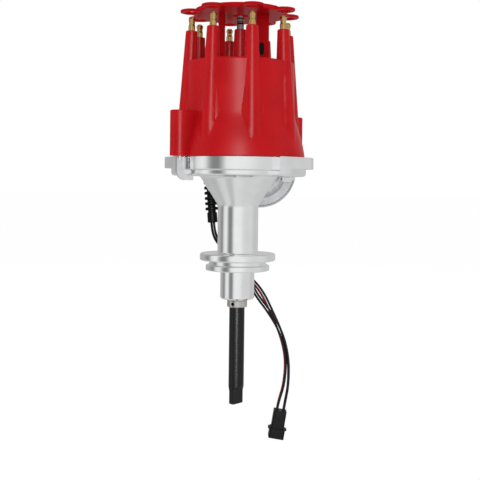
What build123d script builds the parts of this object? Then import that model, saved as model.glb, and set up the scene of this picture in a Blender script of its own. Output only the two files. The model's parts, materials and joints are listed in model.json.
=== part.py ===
from build123d import *
import os
from math import acos, atan2, cos, degrees, hypot, pi, radians, sin, sqrt, tan

os.makedirs("parts", exist_ok=True)

# Ignition distributor for a V8, in millimetres. Z runs up the shaft. z = 0 is the face that
# sits on the engine block. Angles are turned about Z from -Y towards +X.

# ---- clearances shared by everything that fits together
run_gap = 0.05  # radial, turning fits
seat_gap = 0.3  # between faces of pieces that move past each other
pin_gap = 0.08  # radial, latch rods and pivots that swing

# ---- shaft, pilot and seat
pilot_r = 15.875
pilot_length = 26.7
shaft_r = 7.14
shaft_tip_z = -124.5
tang_length = 14.0
tang_thick = 4.75
tang_turn = 47.0
collar_r = 9.35
collar_length = 6.4
washer_thick = 0.9
roll_pin_r = 1.6
roll_pin_turn = -26.0

seat_ring_r = 29.7
seat_ring_thick = 5.1
clamp_groove_r = 26.7
clamp_groove_width = 4.1
top_ring_r = 35.2
top_ring_thick = 6.8
neck_r = 18.9
neck_top_z = 59.8
cone_step_z = 73.5
cone_half_angle = 31.0

# ---- bowl
rim_z = 105.0
bowl_r = 56.5
bowl_wall = 8.0
band_height = 12.3
step_r = 52.5
bowl_bottom_z = 87.7
bowl_floor = 3.8
lug_r = 62.8
lug_start = 35.5
lug_span = 84.2
ear_turn = 78.0
ear_r = 69.0
ear_half_width = 10.0
ear_thick = 10.5
hub_r = 18.0
hub_top_z = 101.0
plate_seat_r = 16.6
plate_seat_z = 99.6

# ---- bearings
bushing_wall = 2.3
bushing_length = 40.0
bearing_r = 14.0
bearing_bore_r = 6.0
bearing_height = 8.0
bearing_z = 90.0
race_wall = 2.2
ball_count = 9
circlip_thick = 1.2
cage_wall = 0.6

# ---- cap
cap_base_r = 61.3
cap_shoulder_r = 58.5
cap_shoulder_z = 120.6
cap_wall_r = 51.4
cap_wall_z = 143.0
cap_deck_z = 192.6
cap_edge_r = 2.2
cavity_base_r = 50.0
cavity_top_r = 41.0
cavity_top_z = 178.0
lip_gap = 0.25
lip_depth = 2.6
tower_count = 8
tower_turn = 13.3
tower_ring_r = 46.0
tower_top_r = 5.4
tower_top_z = 220.8
tower_draft = 2.7
tower_lean = 1.6
root_top_ring_r = 45.0
root_top_r = 7.2
root_low_z = 118.0
root_low_ring_r = 39.1
root_low_r = 17.4
coil_tower_z = 224.7
terminal_r = 3.2
terminal_height = 12.6
insert_r = 2.2
electrode_z = 146.0
electrode_height = 12.0
electrode_r = 38.5

# ---- cap latches
latch_turn = -56.0
latch_ring_r = 63.6
boss_half_width = 9.0
boss_top_z = 145.7
latch_rod_r = 2.2
hook_width = 7.0
hook_thick = 3.0
hook_foot_r = 50.0
hook_foot_height = 4.2
latch_side_room = 1.0
latch_head_r = 4.6
latch_pocket_r = 5.4
latch_pocket_depth = 24.0

# ---- wire retainer
retainer_z = 237.6
retainer_thick = 2.4
retainer_r = 44.0
retainer_step_r = 43.5
retainer_raise = 1.8
loop_r = 10.6
loop_hole_r = 6.4
narrow_leg_x = -17.3
wide_leg_x = 20.9
leg_depth = 8.0

# ---- mechanical advance, reluctor and rotor
sleeve_r = 8.0
sleeve_z = 98.8
advance_plate_z = 120.0
advance_plate_thick = 2.0
advance_plate_r = 34.0
weight_pin_ring_r = 26.0
weight_pin_r = 2.4
weight_thick = 5.4
weight_inner_r = 13.6
weight_outer_r = 31.0
weight_span = 128.0
cam_half_length = 12.0
cam_half_width = 8.6
reluctor_z = 103.4
reluctor_height = 9.0
reluctor_r = 19.0
reluctor_hub_r = 13.0
vane_width = 3.2
pole_gap = 0.6
rotor_z = 135.0
rotor_disc_thick = 3.2
rotor_r = 35.0
rotor_top_z = 147.0
rotor_tip_gap = 1.0
contact_thick = 1.8
brush_r = 3.0
brush_height = 7.0
brush_spring_room = 13.0

# ---- pickup plate and vacuum advance
pickup_plate_r = 25.0
pickup_plate_thick = 1.6
pickup_turn = -60.0
arm_pin_ring_r = 34.0
arm_pin_start = -4.0
arm_pin_r = 1.9
arm_width = 7.0
arm_thick = 1.4
arm_pin_gap = 0.35
canister_x = 21.2
canister_z = 93.9
canister_y = 72.0
canister_r = 36.2
canister_dome_r = 27.2
canister_flange_thick = 2.4

# ---- ignition module
module_turn = -76.0
module_span = 76.0
module_height = 6.8

# ---- wires and connector
wire_r = 1.1
wire_pitch = 2.5
connector_pitch = 6.35
connector_width = 12.3
connector_skirt = 14.8
connector_length = 26.5
connector_upper = 17.0
connector_ears = 17.9
connector_ear_thick = 1.4
connector_tilt = 9.0


def place(radius, turn, z=0.0):
    # a point at a radius and an angle from -Y towards +X
    return Vector(radius * sin(radians(turn)), -radius * cos(radians(turn)), z)


def turned_to(shape, turn):
    # a shape drawn pointing along -Y, turned about Z
    return Rot(0, 0, turn) * shape


def disc(radius, low, high):
    return Pos(0, 0, low) * Cylinder(radius, high - low, align=(Align.CENTER, Align.CENTER, Align.MIN))


def ring(outer, inner, low, high):
    return disc(outer, low, high) - disc(inner, low - 1, high + 1)


def turned(outline, radii=None):
    # a solid of revolution about Z from (r, z) points, with a rounding for each corner
    points = [(r, 0, z) for r, z in outline]
    if radii is None:
        return revolve(make_face(Polyline(*points, close=True)), Axis.Z)
    return revolve(make_face(FilletPolyline(*points, radius=radii, close=True)), Axis.Z)


def prism(outline, low, high):
    # a flat outline in plan, raised from low to high
    return extrude(Pos(0, 0, low) * make_face(outline), high - low)


def save(shape, node):
    export_step(shape, f"parts/{node}.step")


# ======================================================================= housing
bore_r = shaft_r + run_gap + bushing_wall
bowl_inner_r = bowl_r - bowl_wall
floor_z = bowl_bottom_z + bowl_floor
band_z = rim_z - band_height
cone_top_r = neck_r + (bowl_bottom_z - neck_top_z) * tan(radians(cone_half_angle))
latch_angles = (latch_turn, latch_turn + 180)
room_align = (Align.CENTER, Align.MAX, Align.MIN)
groove_z = seat_ring_thick
top_ring_z = seat_ring_thick + clamp_groove_width
relief_turn = -140.0
relief_ring_r = 43.8
relief_hole_r = 4.2


def lug_outline():
    # half of the raised rim: an arc of larger radius with a tangent-sided ear on it
    reach = hypot(ear_r, ear_half_width)
    tangent = degrees(acos(lug_r / reach))
    corner = degrees(atan2(ear_half_width, ear_r))
    first = -lug_span / 2
    ear = ear_turn - lug_start - lug_span / 2
    points = []
    points.append(place(0, 0))
    points.append(place(lug_r, first))
    left = ear - corner - tangent
    right = ear + corner + tangent
    if left <= first:
        left = first + 1.0
    if right >= -first:
        right = -first - 1.0
    a = place(lug_r, left)
    b = place(reach, ear - corner)
    c = place(reach, ear + corner)
    d = place(lug_r, right)
    outline = Curve() + [
        Line(points[0], points[1]),
        ThreePointArc(points[1], place(lug_r, (first + left) / 2), a),
        Line(a, b),
        Line(b, c),
        Line(c, d),
        ThreePointArc(d, place(lug_r, (right - first) / 2), place(lug_r, -first)),
        Line(place(lug_r, -first), points[0]),
    ]
    return outline


def lug():
    high = prism(lug_outline(), rim_z - ear_thick, rim_z)
    centre = lug_start + lug_span / 2
    first = place(lug_r, -lug_span / 2)
    last = place(lug_r, lug_span / 2)
    sector = Curve() + [
        Line((0, 0), first),
        ThreePointArc(first, place(lug_r, 0), last),
        Line(last, (0, 0)),
    ]
    low = prism(sector, bowl_bottom_z, rim_z)
    low = fillet(low.edges().filter_by(GeomType.CIRCLE).sort_by(Axis.Z)[0], 3.0)
    return turned_to(high + low, centre)


def latch_room():
    # the space the hook of a latch stands in, drawn on the -Y side
    inner = latch_ring_r - hook_width / 2 - seat_gap
    return Pos(0, -inner, bowl_bottom_z) * Box(
        hook_thick + 2 * latch_side_room, latch_ring_r, rim_z - bowl_bottom_z, align=room_align
    )


def make_housing():
    body = turned(
        [
            (0, -pilot_length),
            (pilot_r - 1.4, -pilot_length),
            (pilot_r, -pilot_length + 1.4),
            (pilot_r, 0),
            (seat_ring_r, 0),
            (seat_ring_r, groove_z),
            (clamp_groove_r, groove_z),
            (clamp_groove_r, top_ring_z),
            (top_ring_r, top_ring_z),
            (top_ring_r, top_ring_z + top_ring_thick),
            (neck_r, top_ring_z + top_ring_thick),
            (neck_r, neck_top_z),
            (neck_r + (cone_step_z - neck_top_z) * tan(radians(cone_half_angle)), cone_step_z),
            (neck_r + (cone_step_z - neck_top_z) * tan(radians(cone_half_angle)) + 0.5, cone_step_z),
            (cone_top_r + 0.5, bowl_bottom_z),
            (step_r, bowl_bottom_z),
            (step_r, band_z),
            (bowl_r, band_z),
            (bowl_r, rim_z),
            (0, rim_z),
        ],
        [0, 0, 0, 0, 1.0, 1.0, 0.8, 0.8, 1.6, 1.6, 1.5, 6.0, 0, 0, 5.0, 2.0, 0.8, 1.0, 0.6, 0],
    )
    for side in (0, 180):
        body += Rot(0, 0, side) * lug()
    # the lugs leave room for the cap latches, however wide they are
    for turn in latch_angles:
        body -= turned_to(latch_room(), turn)
    # the bowl, the hub that carries the bearing and the pickup plate, and the bores
    body -= ring(bowl_inner_r, hub_r, floor_z, rim_z + 1)
    body -= disc(bowl_inner_r, hub_top_z, rim_z + 1)
    body -= ring(hub_r + 1, plate_seat_r, plate_seat_z, rim_z)
    body -= disc(bore_r, -pilot_length - 1, -pilot_length + bushing_length)
    body -= disc(shaft_r + 1.1, -pilot_length, rim_z)
    body -= disc(bearing_r - race_wall - 1.0, bearing_z - 2, rim_z)
    body -= disc(bearing_r, bearing_z, rim_z)
    body -= disc(bearing_r + 0.8, bearing_z + bearing_height, bearing_z + bearing_height + circlip_thick)
    # openings for the wires and for the arm of the vacuum advance
    body -= Pos(*place(relief_ring_r, relief_turn)) * disc(relief_hole_r, bowl_bottom_z - 3, rim_z - 2)
    arm_slot = Box(arm_width + 5.0, 2 * bowl_wall + 4, arm_thick + 1.6)
    body -= Pos(canister_x, sqrt(bowl_r**2 - canister_x**2) - bowl_wall / 2, canister_z) * arm_slot
    # screw holes for the module and the vacuum bracket
    for turn in module_screw_turns:
        body -= Pos(*place(module_screw_ring_r, turn)) * disc(screw_r, floor_z - 2.6, floor_z + 1)
    for x, y in bracket_screw_points:
        body -= Pos(x, y, 0) * disc(screw_r, bowl_bottom_z - 1, bowl_bottom_z + 2.8)
    return body


screw_r = 1.5
module_inner_r = 20.5
module_outer_r = bowl_inner_r - 2.5
module_screw_ring_r = (module_inner_r + module_outer_r) / 2
module_ear = 5.0
module_screw_turns = (
    module_turn - module_span / 2 - degrees(module_ear / module_screw_ring_r),
    module_turn + module_span / 2 + degrees(module_ear / module_screw_ring_r),
)
bracket_start_y = 40.0
bracket_screw_points = ((canister_x - 7.5, bracket_start_y + 4.2), (canister_x + 4.5, bracket_start_y + 4.2))

# ======================================================================= bearings
bushing_r = bore_r
lower_bushing = ring(bushing_r, shaft_r + run_gap, -pilot_length, -pilot_length + bushing_length)

bearing_top_z = bearing_z + bearing_height
track_r = (bearing_r + bearing_bore_r) / 2
ball_r = (bearing_r - bearing_bore_r - 2 * race_wall) / 2 + 0.55
bearing_mid_z = bearing_z + bearing_height / 2


def ball_track():
    return Pos(0, 0, bearing_mid_z) * Torus(track_r, ball_r + run_gap)


outer_race = ring(bearing_r, bearing_r - race_wall, bearing_z, bearing_top_z) - ball_track()
inner_race = ring(bearing_bore_r + race_wall, bearing_bore_r, bearing_z, bearing_top_z) - ball_track()
circlip = ring(
    bearing_r + 0.7, bearing_r - 1.6, bearing_top_z, bearing_top_z + circlip_thick
) - Pos(0, -bearing_r, bearing_top_z) * Box(5, 8, 6)


def make_balls():
    balls = [
        Pos(*place(track_r, i * 360 / ball_count, bearing_mid_z)) * Sphere(ball_r) for i in range(ball_count)
    ]
    return Compound(children=balls)


def make_cage():
    pocket_r = ball_r + 2 * run_gap
    half_height = pocket_r + 0.6
    low, high = bearing_mid_z - half_height, bearing_mid_z + half_height
    cage = ring(track_r + cage_wall, track_r - cage_wall, low, high)
    pocket = Pos(0, -track_r, bearing_mid_z) * Rot(90, 0, 0) * Cylinder(pocket_r, 6)
    for i in range(ball_count):
        cage -= turned_to(pocket, i * 360 / ball_count)
    return cage


# ======================================================================= shaft
shoulder_z = bearing_z - 0.2
shaft_top_z = advance_plate_z + advance_plate_thick + 0.4 + weight_thick + 3.0
collar_top_z = -pilot_length - washer_thick - 0.2
collar_mid_z = collar_top_z - collar_length / 2


flat_align = (Align.CENTER, Align.CENTER, Align.MIN)


def make_shaft():
    shaft = disc(shaft_r, shaft_tip_z, shoulder_z) + disc(bearing_bore_r, shoulder_z, shaft_top_z)
    shaft = chamfer(shaft.edges().filter_by(GeomType.CIRCLE).sort_by(Axis.Z)[0], 0.8)
    # two milled flats leave the tang, run out on the radius of the cutter
    cutter_r = 6.0
    for side in (1, -1):
        flat = Pos(0, side * (tang_thick / 2 + 10), shaft_tip_z - 1) * Box(
            40, 20, tang_length + 1 - cutter_r / 2, align=flat_align
        )
        round_end = (
            Pos(0, side * (tang_thick / 2 + cutter_r), shaft_tip_z + tang_length - cutter_r / 2)
            * Rot(0, 90, 0)
            * Cylinder(cutter_r, 40)
        )
        shaft -= Rot(0, 0, tang_turn) * (flat + round_end)
    shaft -= turned_to(
        Pos(0, 0, collar_mid_z) * Rot(90, 0, 0) * Cylinder(roll_pin_r, 40), roll_pin_turn
    )
    return shaft


def make_collar():
    collar = ring(collar_r, shaft_r, collar_top_z - collar_length, collar_top_z)
    collar = chamfer(collar.edges().filter_by(GeomType.CIRCLE).group_by(SortBy.RADIUS)[-1], 0.5)
    return collar - turned_to(
        Pos(0, 0, collar_mid_z) * Rot(90, 0, 0) * Cylinder(roll_pin_r, 40), roll_pin_turn
    )


def make_roll_pin():
    length = 2 * sqrt(collar_r**2 - roll_pin_r**2) - 0.4
    pin = Cylinder(roll_pin_r, length) - Cylinder(roll_pin_r - 0.55, length + 2)
    pin -= Pos(0, roll_pin_r, 0) * Box(0.5, roll_pin_r, length + 2)
    return turned_to(Pos(0, 0, collar_mid_z) * Rot(90, 0, 0) * pin, roll_pin_turn)


thrust_washer = ring(collar_r + 1.2, shaft_r + 0.2, collar_top_z + 0.1, collar_top_z + 0.1 + washer_thick)

# ======================================================================= mechanical advance
weights_z = advance_plate_z + advance_plate_thick + 0.3
cam_z = advance_plate_z + advance_plate_thick + 0.4
post_turn = 90 + weight_span + 26
rotor_post_ring_r = weight_pin_ring_r
rotor_post_r = 3.0
spring_coil_r = 1.5
spring_wire_r = 0.4
cam_bar_thick = 1.4
spring_z = weights_z + weight_thick + 0.4 + cam_bar_thick + spring_coil_r + spring_wire_r + seat_gap


def make_advance_plate():
    plate = ring(sleeve_r, bearing_bore_r + run_gap, sleeve_z, advance_plate_z + 0.5)
    outline = disc(advance_plate_r, advance_plate_z, advance_plate_z + advance_plate_thick)
    plate += outline - disc(bearing_bore_r + run_gap, advance_plate_z - 1, advance_plate_z + 5)
    top = spring_z + 1.2
    for side in (0, 180):
        pin = Pos(*place(weight_pin_ring_r, 90 + side))
        plate += pin * disc(weight_pin_r, advance_plate_z, weights_z + weight_thick + 0.4)
        plate += pin * disc(1.1, advance_plate_z, top)
        post = Pos(*place(rotor_post_ring_r, post_turn + side))
        plate += post * disc(rotor_post_r, advance_plate_z, rotor_z)
        plate -= post * disc(screw_r, rotor_z - 6, rotor_z + 1)
    return plate


def make_cam():
    lobe = make_face(
        Curve()
        + [
            ThreePointArc((-cam_half_length, 0), (0, cam_half_width), (cam_half_length, 0)),
            ThreePointArc((cam_half_length, 0), (0, -cam_half_width), (-cam_half_length, 0)),
        ]
    )
    top_z = weights_z + weight_thick + 0.4
    cam = extrude(Pos(0, 0, cam_z) * Rot(0, 0, cam_turn) * lobe, top_z - cam_z)
    bar = extrude(
        Pos(0, 0, top_z) * Rot(0, 0, cam_turn) * SlotOverall(2 * spring_post_ring_r + 7, 9.0), cam_bar_thick
    )
    cam += bar
    for side in (0, 180):
        post = place(spring_post_ring_r, cam_turn + 90 + side)
        cam += Pos(*post) * disc(1.1, top_z, spring_z + 1.2)
    return cam - disc(bearing_bore_r, cam_z - 1, spring_z + 5)


cam_turn = 62.0
spring_post_ring_r = 15.5


def weight_outline():
    # a crescent from the pivot eye round to its free end, in plan, drawn from +X onwards
    inner_a = place(weight_inner_r, 90 + 14)
    inner_m = place(weight_inner_r, 90 + weight_span / 2)
    inner_b = place(weight_inner_r, 90 + weight_span)
    outer_a = place(weight_outer_r, 90 - 6)
    outer_m = place(weight_outer_r, 90 + weight_span / 2)
    outer_b = place(weight_outer_r, 90 + weight_span)
    return Curve() + [
        ThreePointArc(inner_a, inner_m, inner_b),
        Line(inner_b, outer_b),
        ThreePointArc(outer_b, outer_m, outer_a),
        Line(outer_a, inner_a),
    ]


def make_weight(side):
    weight = prism(weight_outline(), weights_z, weights_z + weight_thick)
    weight = fillet(weight.edges().filter_by(Axis.Z), 1.6)
    weight -= Pos(*place(weight_pin_ring_r, 90)) * disc(weight_pin_r + pin_gap, weights_z - 1, weights_z + 9)
    return Rot(0, 0, side) * weight


def coil_spring(wire, coil, length, turns):
    # an open spring along Z, its wire swept along a helix
    path = Helix(length / turns, length, coil)
    start = path @ 0
    section = Plane(origin=start, z_dir=path % 0) * Circle(wire)
    return sweep(section, path=path)


def ribbed_spring(wire, coil, length, turns):
    # a close-wound spring along Z: turns that touch, drawn as rings
    pitch = length / turns
    points = [(coil - wire, 0)]
    for i in range(turns):
        points.append((coil, i * pitch))
        points.append((coil + wire, (i + 0.5) * pitch))
    points.append((coil, length))
    points.append((coil - wire, length))
    return turned(points)


def make_advance_springs():
    springs = []
    for side in (0, 180):
        a = place(weight_pin_ring_r, 90 + side, spring_z)
        b = place(spring_post_ring_r, cam_turn + 90 + side, spring_z)
        along = b - a
        reach = along.length
        margin = 3.4
        spring = ribbed_spring(spring_wire_r, spring_coil_r, reach - 2 * margin, 12)
        plane = Plane(origin=a + along.normalized() * margin, z_dir=along)
        hooks = []
        for end, sign in ((a, 1), (b, -1)):
            centre = end
            loop = Pos(*centre) * (Cylinder(2.1, 0.8) - Cylinder(1.3, 2))
            wire_start = centre + along.normalized() * sign * 1.7
            stem = Plane(origin=wire_start, z_dir=along * sign) * Cylinder(
                0.42, margin - 1.5, align=(Align.CENTER, Align.CENTER, Align.MIN)
            )
            web = Plane(origin=a + along.normalized() * margin, z_dir=along) * disc(spring_coil_r, 0, 0.9)
            if sign < 0:
                near_end = b - along.normalized() * margin
                web = Plane(origin=near_end, z_dir=-along) * disc(spring_coil_r, 0, 0.9)
            hooks.append(loop + stem + web)
        springs.append(plane * spring + hooks[0] + hooks[1])
    return Compound(children=springs)


# ======================================================================= reluctor and rotor
def make_reluctor():
    wheel = ring(reluctor_hub_r, sleeve_r, reluctor_z, reluctor_z + reluctor_height)
    vane = Pos(0, -(reluctor_hub_r + reluctor_r) / 2, reluctor_z + reluctor_height / 2) * Box(
        vane_width, reluctor_r - reluctor_hub_r + 2, reluctor_height
    )
    for i in range(tower_count):
        wheel += turned_to(vane, tower_turn + i * 360 / tower_count)
    return wheel & disc(reluctor_r, reluctor_z - 1, reluctor_z + reluctor_height + 1)


rotor_turn = tower_turn
rotor_tip_r = electrode_r - rotor_tip_gap


def make_rotor():
    rotor = turned(
        [
            (0, rotor_z + 0.4),
            (11, rotor_z + 0.4),
            (11, rotor_z),
            (rotor_r, rotor_z),
            (rotor_r, rotor_z + rotor_disc_thick),
            (13, rotor_z + rotor_disc_thick),
            (9.5, rotor_top_z),
            (0, rotor_top_z),
        ],
        [0, 0, 0, 0.8, 1.0, 3.0, 1.0, 0],
    )
    arm = Pos(0, -rotor_r / 2, rotor_z + 1) * Box(
        10, rotor_r - 1, rotor_top_z - rotor_z - 1, align=(Align.CENTER, Align.CENTER, Align.MIN)
    )
    arm = chamfer(arm.edges().sort_by(Axis.Y)[0:4].filter_by(Axis.X).sort_by(Axis.Z)[0], 6.0)
    rotor += turned_to(arm, rotor_turn)
    for side in (0, 180):
        hole = disc(screw_r + 0.3, rotor_z - 1, rotor_z + 9)
        rotor -= Pos(*place(rotor_post_ring_r, post_turn + side)) * hole
    return rotor


def make_rotor_contact():
    reach = rotor_tip_r
    blade = Pos(0, -reach / 2 + 3, rotor_top_z) * Box(
        6.4, reach + 6, contact_thick, align=(Align.CENTER, Align.CENTER, Align.MIN)
    )
    blade &= disc(reach, rotor_top_z - 1, rotor_top_z + 3)
    # a leaf spring arches up to meet the carbon brush
    rise = brush_bottom_z - 0.3 - rotor_top_z - contact_thick + 0.7
    outline = Curve() + [
        Line((9, 0), (7, 0)),
        ThreePointArc((7, 0), (0, rise - 0.7), (-7, 0)),
        Line((-7, 0), (-9, 0)),
        Line((-9, 0), (-9, 0.7)),
        Line((-9, 0.7), (-7.4, 0.7)),
        ThreePointArc((-7.4, 0.7), (0, rise), (7.4, 0.7)),
        Line((7.4, 0.7), (9, 0.7)),
        Line((9, 0.7), (9, 0)),
    ]
    leaf = extrude(Plane.XZ * make_face(outline), 2.2, both=True)
    leaf = Pos(0, 0, rotor_top_z + contact_thick - 0.7) * leaf
    leaf = Rot(0, 0, 90) * leaf
    return turned_to(blade + (leaf & disc(reach, rotor_top_z, rotor_top_z + 30)), rotor_turn)


brush_bottom_z = rotor_top_z + 9.0


def pan_screw(x, y, seat_z, grip, head_r=3.0, head_height=1.8, down=True):
    # a pan head on a plain shank with a driver slot; the head stands on seat_z
    sign = 1 if down else -1
    shank = disc(screw_r, -grip, 0)
    head = turned(
        [(0, 0), (head_r, 0), (head_r, head_height * 0.5), (head_r * 0.6, head_height), (0, head_height)],
        [0, 0, 0.5, 0.5, 0],
    )
    head -= Pos(0, 0, head_height) * Box(8, 0.7, 1.2)
    screw = shank + head
    if sign < 0:
        screw = Rot(180, 0, 0) * screw
    return Pos(x, y, seat_z) * screw


def make_rotor_screws():
    screws = []
    for side in (0, 180):
        p = place(rotor_post_ring_r, post_turn + side)
        screws.append(pan_screw(p.X, p.Y, rotor_z + rotor_disc_thick, rotor_disc_thick + 4.5))
    return Compound(children=screws)


# ======================================================================= pickup
def make_pickup_plate():
    low, high = plate_seat_z, plate_seat_z + pickup_plate_thick
    pin = place(arm_pin_ring_r, 90 + arm_pin_start)
    plate = disc(pickup_plate_r, low, high)
    arm = prism(
        Curve()
        + [
            Line((0, -10), (arm_pin_ring_r - 2, -7)),
            Line((arm_pin_ring_r - 2, -7), (arm_pin_ring_r - 2, 5)),
            Line((arm_pin_ring_r - 2, 5), (0, 10)),
            Line((0, 10), (0, -10)),
        ],
        low,
        high,
    )
    plate += Rot(0, 0, arm_pin_start) * arm
    plate += Pos(*pin) * disc(5.0, low, high)
    pad = Pos(0, -(pickup_plate_r + 5), low) * Box(
        2 * pickup_screw_x + 7, 20, pickup_plate_thick, align=(Align.CENTER, Align.CENTER, Align.MIN)
    )
    pad = fillet(pad.edges().filter_by(Axis.Z).sort_by(Axis.Y)[:2], 4.0)
    plate += turned_to(pad, pickup_turn)
    plate -= disc(plate_seat_r + run_gap, low - 1, high + 1)
    plate += Pos(*pin) * disc(arm_pin_r, canister_z - 1.4, low + 0.5)
    for side in (-1, 1):
        plate -= turned_to(
            Pos(side * pickup_screw_x, -pickup_mid_r, 0) * disc(screw_r, low - 1, high + 1), pickup_turn
        )
    return plate


pickup_mid_r = 32.0
pickup_screw_x = 9.4
plate_top_z = plate_seat_z + pickup_plate_thick
pole_r = reluctor_r + pole_gap
reluctor_mid_z = reluctor_z + reluctor_height / 2


def make_pickup_coil():
    # a moulded bobbin on feet that the two screws hold down
    body = Pos(0, -pickup_mid_r, plate_top_z) * Box(
        12, 10, 12, align=(Align.CENTER, Align.CENTER, Align.MIN)
    )
    body = fillet(body.edges().filter_by(Axis.Z), 1.5)
    foot = Pos(0, -pickup_mid_r, plate_top_z) * Box(
        2 * pickup_screw_x + 6, 8, 2.2, align=(Align.CENTER, Align.CENTER, Align.MIN)
    )
    body += fillet(foot.edges().filter_by(Axis.Z), 2.5)
    for side in (-1, 1):
        hole = disc(screw_r + 0.1, plate_top_z - 1, plate_top_z + 5)
        body -= Pos(side * pickup_screw_x, -pickup_mid_r, 0) * hole
    body -= Pos(0, -pickup_mid_r, reluctor_mid_z) * Box(4.2, 12, 4.2)
    return turned_to(body, pickup_turn)


def make_pickup_pole():
    # the soft iron core ends just outside the reluctor's vanes
    back = pickup_mid_r + 7
    core = Pos(0, -(pole_r + back) / 2, reluctor_mid_z) * Box(4.2, back - pole_r, 4.2)
    magnet = Pos(0, -(back + 1.5), reluctor_mid_z) * Box(9, 3, 9)
    return turned_to(core + magnet, pickup_turn)


def make_pickup_screws():
    screws = []
    for side in (-1, 1):
        p = turned_to(Pos(side * pickup_screw_x, -pickup_mid_r, 0) * Vertex(0, 0, 0), pickup_turn)
        screws.append(pan_screw(p.center().X, p.center().Y, plate_top_z + 2.2, 3.6))
    return Compound(children=screws)


# ======================================================================= module
def sector(inner, outer, start, end, low, high):
    # a block that follows the bowl, between two radii and two angles
    mid = (start + end) / 2
    outline = Curve() + [
        ThreePointArc(place(inner, start), place(inner, mid), place(inner, end)),
        Line(place(inner, end), place(outer, end)),
        ThreePointArc(place(outer, end), place(outer, mid), place(outer, start)),
        Line(place(outer, start), place(inner, start)),
    ]
    return prism(outline, low, high)


def make_module():
    start = module_turn - module_span / 2
    end = module_turn + module_span / 2
    body = sector(module_inner_r, module_outer_r, start, end, floor_z, floor_z + module_height)
    body = fillet(body.edges().filter_by(Axis.Z), 3.0)
    for turn in module_screw_turns:
        ear = Pos(*place(module_screw_ring_r, turn)) * disc(4.2, floor_z, floor_z + 2.4)
        root = (turn + (start if turn < start else end)) / 2
        ear += sector(
            module_screw_ring_r - 4.2, module_screw_ring_r + 4.2, root - 5, root + 5, floor_z, floor_z + 2.4
        )
        body += ear
    for turn in module_screw_turns:
        body -= Pos(*place(module_screw_ring_r, turn)) * disc(screw_r + 0.2, floor_z - 1, floor_z + 5)
    return body


def make_module_screws():
    screws = []
    for turn in module_screw_turns:
        p = place(module_screw_ring_r, turn)
        screws.append(pan_screw(p.X, p.Y, floor_z + 2.4, 4.6))
    return Compound(children=screws)


# ======================================================================= cap
lean = radians(tower_lean)
draft = tan(radians(tower_draft))


def tower_axis(z):
    # how far a plug tower's axis stands from the shaft at a height
    return tower_ring_r + (tower_top_z - z) * tan(lean)


def tower_radius(z):
    return tower_top_r + (tower_top_z - z) * draft


def make_tower():
    low = rim_z + 6.0
    length = tower_top_z - low
    cone = Cone(
        tower_top_r + length * draft, tower_top_r, length, align=(Align.CENTER, Align.CENTER, Align.MAX)
    )
    cone = fillet(cone.edges().sort_by(Axis.Z)[-1], 0.9)
    return Pos(0, -tower_ring_r, tower_top_z) * Rot(-tower_lean, 0, 0) * cone


def make_tower_root():
    # the flank a tower stands on, widening downwards until the wall takes it in
    top = Pos(0, -root_top_ring_r, cap_deck_z) * Circle(root_top_r)
    low = Pos(0, -root_low_ring_r, root_low_z) * Circle(root_low_r)
    return loft([low, top], ruled=True)


def cap_shell():
    # flared skirt, straight wall and flat deck
    skirt = Spline(
        (cap_base_r, 0, rim_z + 1.5),
        (cap_shoulder_r, 0, cap_shoulder_z),
        (cap_wall_r + 1.6, 0, cap_wall_z - 4.5),
        (cap_wall_r, 0, cap_wall_z + 6),
        tangents=[(-0.12, 0, 1), (0, 0, 1)],
    )
    outline = Curve() + [
        Line((0, 0, rim_z), (cap_base_r, 0, rim_z)),
        Line((cap_base_r, 0, rim_z), (cap_base_r, 0, rim_z + 1.5)),
        skirt,
        Line((cap_wall_r, 0, cap_wall_z + 6), (cap_wall_r - 0.4, 0, cap_deck_z - cap_edge_r)),
        ThreePointArc(
            (cap_wall_r - 0.4, 0, cap_deck_z - cap_edge_r),
            (cap_wall_r - 0.4 - 0.29 * cap_edge_r, 0, cap_deck_z - 0.29 * cap_edge_r),
            (cap_wall_r - 0.4 - cap_edge_r, 0, cap_deck_z),
        ),
        Line((cap_wall_r - 0.4 - cap_edge_r, 0, cap_deck_z), (0, 0, cap_deck_z)),
        Line((0, 0, cap_deck_z), (0, 0, rim_z)),
    ]
    return revolve(make_face(outline), Axis.Z)


def latch_boss():
    # a tongue with a round nose, from inside the wall out to the latch
    height = boss_top_z - rim_z
    nose = Pos(0, -latch_ring_r, rim_z) * Cylinder(
        boss_half_width, height, align=(Align.CENTER, Align.CENTER, Align.MIN)
    )
    web = Pos(0, -(latch_ring_r + 45) / 2, rim_z) * Box(
        2 * boss_half_width, latch_ring_r - 45, height, align=(Align.CENTER, Align.CENTER, Align.MIN)
    )
    boss = nose + web
    return fillet(boss.faces().sort_by(Axis.Z)[-1].edges().sort_by(Axis.Y)[:-1], 0.8)


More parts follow.
